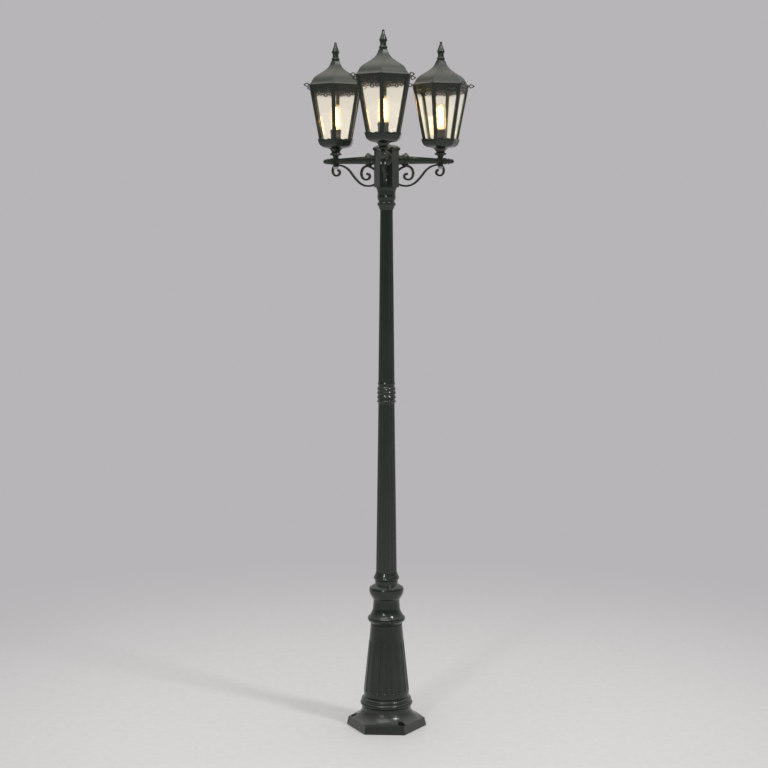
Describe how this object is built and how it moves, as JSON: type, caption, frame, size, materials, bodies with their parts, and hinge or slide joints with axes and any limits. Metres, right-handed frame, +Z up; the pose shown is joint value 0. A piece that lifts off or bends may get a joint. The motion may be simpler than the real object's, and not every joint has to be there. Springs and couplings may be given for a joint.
{
  "type": "triple head lamp post",
  "caption": "Tall cast lamp post with a fluted shaft, a six-sided hub, scrolled arms and glazed lanterns whose roofs lift off for relamping.",
  "frame": {"origin": "centre of the foot's underside, on the post's axis", "axes": "+Z up along the post, -Y towards the front arm"},
  "size_m": [0.5953, 0.565, 2.4],
  "materials": {
    "green_paint": "gloss",
    "clear_glass": "clear",
    "bulb_glass": "warm glowing tube",
    "black_plastic": "matte",
    "white_plastic": "matte",
    "zinc_steel": "zinc plated"
  },
  "bodies": {
    "post": {"base_casting": "green_paint", "base_spigot": "zinc_steel", "bracket_screws": "zinc_steel", "capital": "green_paint", "front_arm": "green_paint", "front_arm_knob": "green_paint", "front_arm_nuts": "zinc_steel", "front_lampholder": "black_plastic", "front_lantern_cage": "green_paint", "front_lantern_cup": "green_paint", "front_lantern_frieze": "green_paint", "front_lantern_panes": "clear_glass", "front_lantern_pillar": "green_paint", "front_roof_bridge": "zinc_steel", "front_scroll_bracket": "green_paint", "front_stem_tube": "zinc_steel", "grub_screws": "zinc_steel", "hub": "green_paint", "hub_cap": "green_paint", "hub_cap_screw": "zinc_steel", "left_arm": "green_paint", "left_arm_knob": "green_paint", "left_arm_nuts": "zinc_steel", "left_lampholder": "black_plastic", "left_lantern_cage": "green_paint", "left_lantern_cup": "green_paint", "left_lantern_frieze": "green_paint", "left_lantern_panes": "clear_glass", "left_lantern_pillar": "green_paint", "left_roof_bridge": "zinc_steel", "left_scroll_bracket": "green_paint", "left_stem_tube": "zinc_steel", "lower_shaft": "green_paint", "middle_joint": "green_paint", "middle_spigot": "zinc_steel", "right_arm": "green_paint", "right_arm_knob": "green_paint", "right_arm_nuts": "zinc_steel", "right_lampholder": "black_plastic", "right_lantern_cage": "green_paint", "right_lantern_cup": "green_paint", "right_lantern_frieze": "green_paint", "right_lantern_panes": "clear_glass", "right_lantern_pillar": "green_paint", "right_roof_bridge": "zinc_steel", "right_scroll_bracket": "green_paint", "right_stem_tube": "zinc_steel", "terminal_block": "white_plastic", "top_spigot": "zinc_steel", "upper_shaft": "green_paint", "vase_collar": "green_paint"},
    "front_lamp": {"front_bulb": "bulb_glass"},
    "front_finial": {"front_finial_nut": "green_paint"},
    "front_roof": {"front_lantern_roof": "green_paint"},
    "left_lamp": {"left_bulb": "bulb_glass"},
    "left_finial": {"left_finial_nut": "green_paint"},
    "left_roof": {"left_lantern_roof": "green_paint"},
    "right_lamp": {"right_bulb": "bulb_glass"},
    "right_finial": {"right_finial_nut": "green_paint"},
    "right_roof": {"right_lantern_roof": "green_paint"}
  },
  "joints": [
    {"name": "front_roof_lift", "type": "slide", "parent": "post", "child": "front_roof", "axis": [0, 0, 1], "range_m": [0, 0.12]},
    {"name": "front_finial_turn", "type": "hinge", "parent": "front_roof", "child": "front_finial", "pos_m": [0, -0.212, 2.35], "axis": [0, 0, 1], "continuous": true},
    {"name": "front_bulb_unscrew", "type": "slide", "parent": "post", "child": "front_lamp", "axis": [0, 0, 1], "range_m": [0, 0.03]},
    {"name": "right_roof_lift", "type": "slide", "parent": "post", "child": "right_roof", "axis": [0, 0, 1], "range_m": [0, 0.12]},
    {"name": "right_finial_turn", "type": "hinge", "parent": "right_roof", "child": "right_finial", "pos_m": [0.1836, 0.106, 2.35], "axis": [0, 0, 1], "continuous": true},
    {"name": "right_bulb_unscrew", "type": "slide", "parent": "post", "child": "right_lamp", "axis": [0, 0, 1], "range_m": [0, 0.03]},
    {"name": "left_roof_lift", "type": "slide", "parent": "post", "child": "left_roof", "axis": [0, 0, 1], "range_m": [0, 0.12]},
    {"name": "left_finial_turn", "type": "hinge", "parent": "left_roof", "child": "left_finial", "pos_m": [-0.1836, 0.106, 2.35], "axis": [0, 0, 1], "continuous": true},
    {"name": "left_bulb_unscrew", "type": "slide", "parent": "post", "child": "left_lamp", "axis": [0, 0, 1], "range_m": [0, 0.03]}
  ]
}
